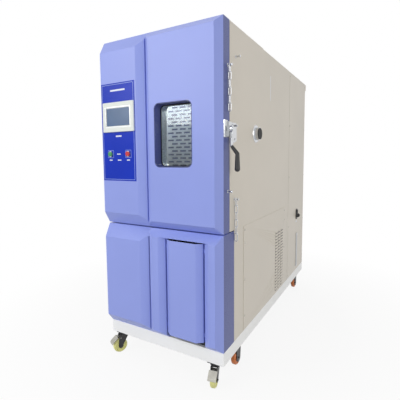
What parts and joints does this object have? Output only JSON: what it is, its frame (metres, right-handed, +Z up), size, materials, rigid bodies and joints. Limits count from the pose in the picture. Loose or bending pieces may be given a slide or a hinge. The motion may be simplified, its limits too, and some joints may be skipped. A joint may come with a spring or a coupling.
{
  "type": "environmental test chamber",
  "caption": "Floor-standing temperature and humidity test chamber on casters, with an insulated windowed door, touch panel, lever latch, cable port and machine compartment.",
  "frame": {"origin": "on the floor, under the middle of the whole object's extent", "axes": "+Z up, +X to the right seen from the front, +Y towards the back"},
  "size_m": [0.7544, 1.604, 1.65],
  "materials": {
    "blue_paint": "satin powder coat",
    "warm_grey_paint": "satin powder coat",
    "white_paint": "satin powder coat",
    "stainless": "brushed",
    "chrome": "polished",
    "zinc": "zinc plated",
    "dark_steel": "black enamel",
    "aluminium": "mill finish",
    "glass_wool": "glass wool blanket",
    "gasket": "soft silicone",
    "black_rubber": "matte",
    "black_plastic": "fine grain",
    "ivory_plastic": "satin",
    "control_blue": "satin film",
    "screen": "dark display",
    "pane": "clear",
    "green_plastic": "gloss",
    "red_plastic": "gloss",
    "yellow_tyre": "polyurethane",
    "orange_tyre": "polyurethane"
  },
  "bodies": {
    "cabinet": {"base_frame": "white_paint", "left_side_panel": "warm_grey_paint", "right_side_panel": "warm_grey_paint", "rear_panel": "warm_grey_paint", "rear_column_cover": "warm_grey_paint", "top_cover": "warm_grey_paint", "chamber_liner": "stainless", "chamber_insulation": "glass_wool", "air_baffle": "stainless", "wire_shelf": "stainless", "port_flange": "chrome", "fan_motors": "dark_steel", "evaporator": "aluminium", "condenser": "aluminium", "compressors": "dark_steel", "electrical_box": "zinc", "side_access_panel": "warm_grey_paint", "lower_front_panel": "blue_paint", "intake_centre_panel": "blue_paint", "intake_mesh": "dark_steel", "water_inlet": "black_plastic", "level_gauge": "aluminium", "rear_outlets": "black_plastic", "caster_mounts": "dark_steel", "latch_strike": "chrome", "hinge_frame_leaves": "chrome", "chain_studs_frame": "chrome"},
    "door": {"door_front_panel": "blue_paint", "control_console": "blue_paint", "door_insulation": "glass_wool", "door_inner_panel": "stainless", "door_gasket": "gasket", "window_surround": "stainless", "window_panes": "pane", "control_plate": "control_blue", "hmi_bezel": "ivory_plastic", "hmi_display": "screen", "button_collars": "chrome", "latch_housing": "chrome", "hinge_door_leaves": "chrome", "chain_studs_door": "chrome"},
    "latch_lever": {"latch_lever": "chrome", "lever_grip": "black_plastic"},
    "start_button": {"start_button": "green_plastic"},
    "stop_button": {"stop_button": "red_plastic"},
    "upper_chain": {"upper_chain": "chrome"},
    "lower_chain": {"lower_chain": "chrome"},
    "port_plug": {"port_plug": "black_rubber"},
    "circulation_fan": {"circulation_fan": "aluminium"},
    "condenser_fan": {"condenser_fan": "black_plastic"},
    "caster_fork_front_left": {"caster_fork_front_left": "dark_steel"},
    "brake_pedal_front_left": {"brake_pedal_front_left": "zinc"},
    "wheel_front_left": {"wheel_front_left": "yellow_tyre"},
    "caster_fork_front_right": {"caster_fork_front_right": "dark_steel"},
    "brake_pedal_front_right": {"brake_pedal_front_right": "zinc"},
    "wheel_front_right": {"wheel_front_right": "yellow_tyre"},
    "wheel_mid_left": {"wheel_mid_left": "orange_tyre"},
    "wheel_mid_right": {"wheel_mid_right": "orange_tyre"},
    "wheel_rear_left": {"wheel_rear_left": "orange_tyre"},
    "wheel_rear_right": {"wheel_rear_right": "orange_tyre"}
  },
  "joints": [
    {"name": "door_hinge", "type": "hinge", "parent": "cabinet", "child": "door", "pos_m": [-0.36925, -0.6865, 1.185], "axis": [0, 0, -1], "range_deg": [0, 120]},
    {"name": "latch_turn", "type": "hinge", "parent": "door", "child": "latch_lever", "pos_m": [0.33825, -0.707, 1.184], "axis": [1, 0, 0], "range_deg": [0, 75]},
    {"name": "start_press", "type": "slide", "parent": "door", "child": "start_button", "axis": [0, 1, 0], "range_m": [0, 0.0025], "stiffness_N_per_m": 400, "springref_m": -0.001},
    {"name": "stop_press", "type": "slide", "parent": "door", "child": "stop_button", "axis": [0, 1, 0], "range_m": [0, 0.0025], "stiffness_N_per_m": 400, "springref_m": -0.001},
    {"name": "upper_chain_swing", "type": "hinge", "parent": "door", "child": "upper_chain", "pos_m": [0.32925, -0.707, 1.456], "axis": [1, 0, 0], "range_deg": [-60, 60]},
    {"name": "lower_chain_swing", "type": "hinge", "parent": "cabinet", "child": "lower_chain", "pos_m": [0.32925, -0.636, 0.868], "axis": [1, 0, 0], "range_deg": [-60, 60]},
    {"name": "port_plug_pull", "type": "slide", "parent": "cabinet", "child": "port_plug", "axis": [1, 0, 0], "range_m": [0, 0.12]},
    {"name": "circulation_fan_spin", "type": "hinge", "parent": "cabinet", "child": "circulation_fan", "pos_m": [-0.02075, -0.251, 1.27], "axis": [0, 1, 0], "continuous": true},
    {"name": "condenser_fan_spin", "type": "hinge", "parent": "cabinet", "child": "condenser_fan", "pos_m": [0.17525, 0.0915, 0.4], "axis": [1, 0, 0], "continuous": true},
    {"name": "swivel_front_left", "type": "hinge", "parent": "cabinet", "child": "caster_fork_front_left", "pos_m": [-0.30375, -0.719, 0.098], "axis": [0, 0, 1], "continuous": true},
    {"name": "roll_front_left", "type": "hinge", "parent": "caster_fork_front_left", "child": "wheel_front_left", "pos_m": [-0.31775, -0.74325, 0.0375], "axis": [0.866, -0.5, 0], "continuous": true},
    {"name": "brake_front_left", "type": "hinge", "parent": "caster_fork_front_left", "child": "brake_pedal_front_left", "pos_m": [-0.31775, -0.74325, 0.082], "axis": [0.866, -0.5, 0], "range_deg": [0, 15]},
    {"name": "swivel_front_right", "type": "hinge", "parent": "cabinet", "child": "caster_fork_front_right", "pos_m": [0.26225, -0.719, 0.098], "axis": [0, 0, 1], "continuous": true},
    {"name": "roll_front_right", "type": "hinge", "parent": "caster_fork_front_right", "child": "wheel_front_right", "pos_m": [0.26807, -0.74639, 0.0375], "axis": [0.9781, 0.2079, 0], "continuous": true},
    {"name": "brake_front_right", "type": "hinge", "parent": "caster_fork_front_right", "child": "brake_pedal_front_right", "pos_m": [0.26807, -0.74639, 0.082], "axis": [0.9781, 0.2079, 0], "range_deg": [0, 15]},
    {"name": "roll_mid_left", "type": "hinge", "parent": "cabinet", "child": "wheel_mid_left", "pos_m": [-0.32575, -0.536, 0.0375], "axis": [1, 0, 0], "continuous": true},
    {"name": "roll_mid_right", "type": "hinge", "parent": "cabinet", "child": "wheel_mid_right", "pos_m": [0.28425, -0.536, 0.0375], "axis": [1, 0, 0], "continuous": true},
    {"name": "roll_rear_left", "type": "hinge", "parent": "cabinet", "child": "wheel_rear_left", "pos_m": [-0.32575, 0.641, 0.0375], "axis": [1, 0, 0], "continuous": true},
    {"name": "roll_rear_right", "type": "hinge", "parent": "cabinet", "child": "wheel_rear_right", "pos_m": [0.28425, 0.641, 0.0375], "axis": [1, 0, 0], "continuous": true}
  ]
}
